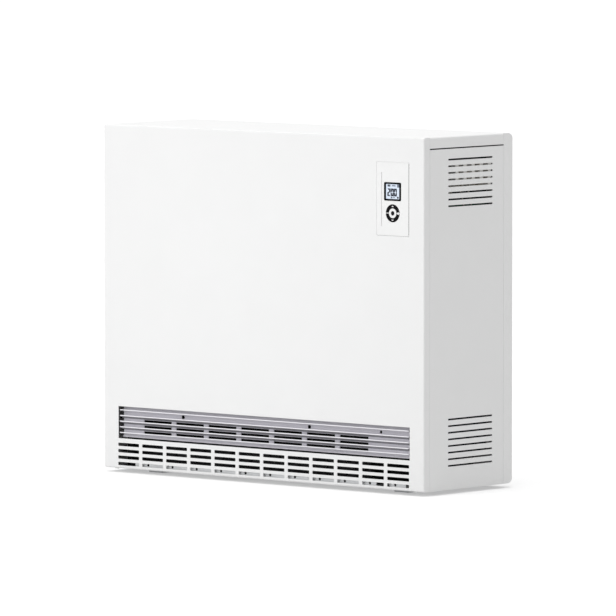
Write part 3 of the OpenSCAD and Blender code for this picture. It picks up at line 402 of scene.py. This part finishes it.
class Print:
    """Thin flat shapes, drawn in (x, z) millimetres from a centre, on a face that looks along -Y."""

    def __init__(self, name, centre, face_y, material, body, slot):
        self.name = name
        self.centre = centre
        self.front = face_y - PRINT_RISE
        self.back = face_y + PRINT_SINK
        self.material = material
        self.body = body
        self.slot = slot
        self.mesh = bmesh.new()

    def point(self, p, y):
        return self.mesh.verts.new((self.centre[0] + p[0] * MM, y, self.centre[1] + p[1] * MM))

    def shape(self, outline):
        """A closed outline."""
        front = [self.point(p, self.front) for p in outline]
        back = [self.point(p, self.back) for p in outline]
        self.mesh.faces.new(front)
        self.mesh.faces.new(back[::-1])
        for i in range(len(outline)):
            j = (i + 1) % len(outline)
            self.mesh.faces.new((front[j], front[i], back[i], back[j]))

    def disc(self, x, z, radius, steps=32):
        angles = [2 * math.pi * i / steps for i in range(steps)]
        self.shape([(x + radius * math.cos(a), z + radius * math.sin(a)) for a in angles])

    def bar(self, x, z, width, height):
        self.shape([(x - width / 2, z - height / 2), (x + width / 2, z - height / 2),
                    (x + width / 2, z + height / 2), (x - width / 2, z + height / 2)])

    def finish(self):
        bmesh.ops.recalc_face_normals(self.mesh, faces=self.mesh.faces)
        data = bpy.data.meshes.new(self.name)
        self.mesh.to_mesh(data)
        self.mesh.free()
        data.materials.append(self.material)
        piece = bpy.data.objects.new(self.name, data)
        bpy.context.scene.collection.objects.link(piece)
        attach(piece, self.body)


# Middle of the display's window, in millimetres along X and Z
DISPLAY_CENTRE = (315.1, 550.8)

# Segments of a digit: outline, and the side and end of the digit that it is mirrored to
SEGMENTS = {
    "top": ("level", 1, 1), "middle": ("middle", 1, 1), "bottom": ("level", 1, -1),
    "upper_left": ("upright", -1, 1), "upper_right": ("upright", 1, 1),
    "lower_left": ("upright", -1, -1), "lower_right": ("upright", 1, -1),
}
DIGITS = {
    "2": ("top", "upper_right", "middle", "lower_left", "bottom"),
    "0": ("top", "upper_left", "upper_right", "lower_left", "lower_right", "bottom"),
}


def digit(ink, character, x, z, width, height, stroke):
    """A seven-segment digit with mitred corners, centred on (x, z)."""
    gap = 0.15
    w, h, half = width / 2, height / 2, stroke / 2
    inner = w - stroke
    outlines = {
        "level": [(w - gap, h), (gap - w, h), (gap - inner, h - stroke), (inner - gap, h - stroke)],
        "middle": [(inner - gap, half), (gap - inner, half), (gap - inner - half, 0),
                   (gap - inner, -half), (inner - gap, -half), (inner + half - gap, 0)],
        "upright": [(w, gap), (w, h - gap), (inner, h - stroke - gap), (inner, half + gap),
                    (w - half, gap)],
    }
    for name in DIGITS[character]:
        outline, side, end = SEGMENTS[name]
        ink.shape([(x + side * px, z + end * pz) for px, pz in outlines[outline]])


def display_marks():
    """Room temperature in large digits, with small generic symbols round it."""
    dark = moulded("lcd_ink", (0.004, 0.006, 0.016), 0.3, Specular_IOR_Level=0.15)
    pale = moulded("lcd_ink_pale", (0.035, 0.05, 0.08), 0.3, Specular_IOR_Level=0.15)
    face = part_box("display_module")[0].y
    centre = (DISPLAY_CENTRE[0] * MM, DISPLAY_CENTRE[1] * MM)
    upper_row = 10.4

    ink = Print("display_digits", centre, face, dark, "casing", "display_black")
    for character, x in (("2", -8.9), ("0", -1.2), ("0", 6.3)):
        digit(ink, character, x, z=-1.8, width=7.2, height=14.0, stroke=3.0)
    ink.disc(2.55, -8.2, 0.8)
    ink.finish()

    signs = Print("display_symbols", centre, face, dark, "casing", "display_black")
    for i in range(4):
        signs.bar(-11.2 + 1.7 * i, upper_row, 1.45, 3.6)
    signs.shape([(-5.1, -12.4), (-0.5, -12.4), (-2.8, -9.2)])
    signs.disc(12.3, -11.0, 2.0)
    signs.finish()

    scale = Print("display_scale", centre, face, pale, "casing", "display_black")
    for i in range(5):
        scale.bar(-1.2 + 1.8 * i, upper_row, 1.1, 2.4)
    for i in range(4):
        scale.bar(13.0, 8.2 + 1.4 * i, 4.8, 1.1)
    scale.bar(2.6, -11.2, 5.4, 1.1)
    scale.finish()


def key_marks():
    """White arrows on the two ring keys and a dark dot on the centre key."""
    ring_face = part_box("key_up")[0].y
    low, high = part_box("key_enter")
    centre = ((low.x + high.x) / 2, (low.z + high.z) / 2)
    arrow_radius, arrow_half_width, arrow_half_height = 12.7, 3.1, 1.1
    dot_radius = 4.1
    white = moulded("key_print_white", (0.80, 0.80, 0.80), 0.4)
    dark = moulded("key_print_dark", (0.004, 0.004, 0.005), 0.4, Specular_IOR_Level=0.1)
    for name, body, side in (("up_key_mark", "up_key", 1), ("down_key_mark", "down_key", -1)):
        foot = side * (arrow_radius - arrow_half_height)
        tip = side * (arrow_radius + arrow_half_height)
        mark = Print(name, centre, ring_face, white, body, "white_plastic")
        mark.shape([(-arrow_half_width, foot), (0, tip), (arrow_half_width, foot)])
        mark.finish()
    dot = Print("enter_key_mark", centre, low.y, dark, "enter_key", "black_plastic")
    dot.disc(0, 0, dot_radius, steps=48)
    dot.finish()


# ---- Studio ---------------------------------------------------------------------------------------

def seen_directly(tree):
    """1 for camera, glossy and transmission rays, and 0 for the rays that carry light."""
    path = tree.nodes.new("ShaderNodeLightPath")
    total = path.outputs["Is Camera Ray"]
    for kind in ("Is Glossy Ray", "Is Transmission Ray"):
        either = tree.nodes.new("ShaderNodeMath")
        either.operation = "MAXIMUM"
        tree.links.new(total, either.inputs[0])
        tree.links.new(path.outputs[kind], either.inputs[1])
        total = either.outputs["Value"]
    return total


def white_world(ambient):
    """Even grey light, behind a backdrop that shows as pure white."""
    world = bpy.data.worlds.new("studio")
    world.use_nodes = True
    bpy.context.scene.world = world
    tree = world.node_tree
    strength = tree.nodes.new("ShaderNodeMapRange")
    strength.inputs["To Min"].default_value = ambient
    strength.inputs["To Max"].default_value = 1
    tree.links.new(seen_directly(tree), strength.inputs["Value"])
    background = tree.nodes["Background"]
    background.inputs["Color"].default_value = (1, 1, 1, 1)
    tree.links.new(strength.outputs["Result"], background.inputs["Strength"])


def pale_floor(colour, glow):
    """Matt white floor. What is seen of it directly also glows, so that only its shadow shows."""
    material = bpy.data.materials.new("floor")
    material.use_nodes = True
    tree = material.node_tree
    tree.nodes.clear()
    diffuse = tree.nodes.new("ShaderNodeBsdfDiffuse")
    diffuse.inputs["Color"].default_value = (colour, colour, colour, 1)
    light = tree.nodes.new("ShaderNodeEmission")
    strength = tree.nodes.new("ShaderNodeMapRange")
    strength.inputs["To Max"].default_value = glow
    tree.links.new(seen_directly(tree), strength.inputs["Value"])
    tree.links.new(strength.outputs["Result"], light.inputs["Strength"])
    both = tree.nodes.new("ShaderNodeAddShader")
    output = tree.nodes.new("ShaderNodeOutputMaterial")
    tree.links.new(diffuse.outputs["BSDF"], both.inputs[0])
    tree.links.new(light.outputs["Emission"], both.inputs[1])
    tree.links.new(both.outputs["Shader"], output.inputs["Surface"])
    half = 20.0
    corners = [(-half, -half, 0), (half, -half, 0), (half, half, 0), (-half, half, 0)]
    data = bpy.data.meshes.new("floor")
    data.from_pydata(corners, [], [(0, 1, 2, 3)])
    data.materials.append(material)
    floor = bpy.data.objects.new("floor", data)
    bpy.context.scene.collection.objects.link(floor)


def aimed(name, kind, towards, target=(0, 0, 0), distance=0.0):
    """Lamp that lies in the direction towards from the target and shines at it."""
    data = bpy.data.lights.new(name, kind)
    lamp = bpy.data.objects.new(name, data)
    direction = Vector(towards).normalized()
    lamp.location = Vector(target) + direction * distance
    lamp.rotation_mode = "QUATERNION"
    lamp.rotation_quaternion = direction.to_track_quat("Z", "Y")
    bpy.context.scene.collection.objects.link(lamp)
    return data


def sun(name, towards, level, spread):
    """Distant soft lamp that lights a surface facing it as much as a world of that strength."""
    data = aimed(name, "SUN", towards)
    data.energy = level * math.pi
    data.angle = math.radians(spread)


def softbox(name, towards, target, distance, size, level):
    """Square lamp, level given as for the sun."""
    data = aimed(name, "AREA", towards, target, distance)
    data.shape = "SQUARE"
    data.size = size
    data.energy = level * (math.pi * distance) ** 2


def studio():
    white_world(0.575)
    pale_floor(0.70, 0.37)
    front_left_of_middle = (-0.32, -0.128, 0.40)
    softbox("key", (0, -1.0, 0.20), front_left_of_middle, distance=1.9, size=1.0, level=0.30)
    sun("top", (0, -0.1, 1), level=0.44, spread=50)
    bpy.context.scene.view_settings.view_transform = "Standard"


def camera():
    """The photograph's view: its box corners give azimuth, elevation, distance and focal length."""
    azimuth = math.radians(40.816)
    elevation = math.radians(4.151)
    distance = 15.310
    target = Vector((0.0052, -0.003, 0.3178))
    focal_pixels = 8286.6
    photo_pixels = 616
    data = bpy.data.cameras.new("camera")
    data.sensor_width = 36
    data.lens = focal_pixels / photo_pixels * data.sensor_width
    data.clip_start = 1
    data.clip_end = 200
    eye = bpy.data.objects.new("camera", data)
    back = Vector((math.sin(azimuth) * math.cos(elevation), -math.cos(azimuth) * math.cos(elevation),
                   math.sin(elevation)))
    eye.location = target + back * distance
    eye.rotation_mode = "QUATERNION"
    eye.rotation_quaternion = back.to_track_quat("Z", "Y")
    bpy.context.scene.collection.objects.link(eye)
    bpy.context.scene.camera = eye


dress_nodes()
display_marks()
key_marks()
studio()
camera()
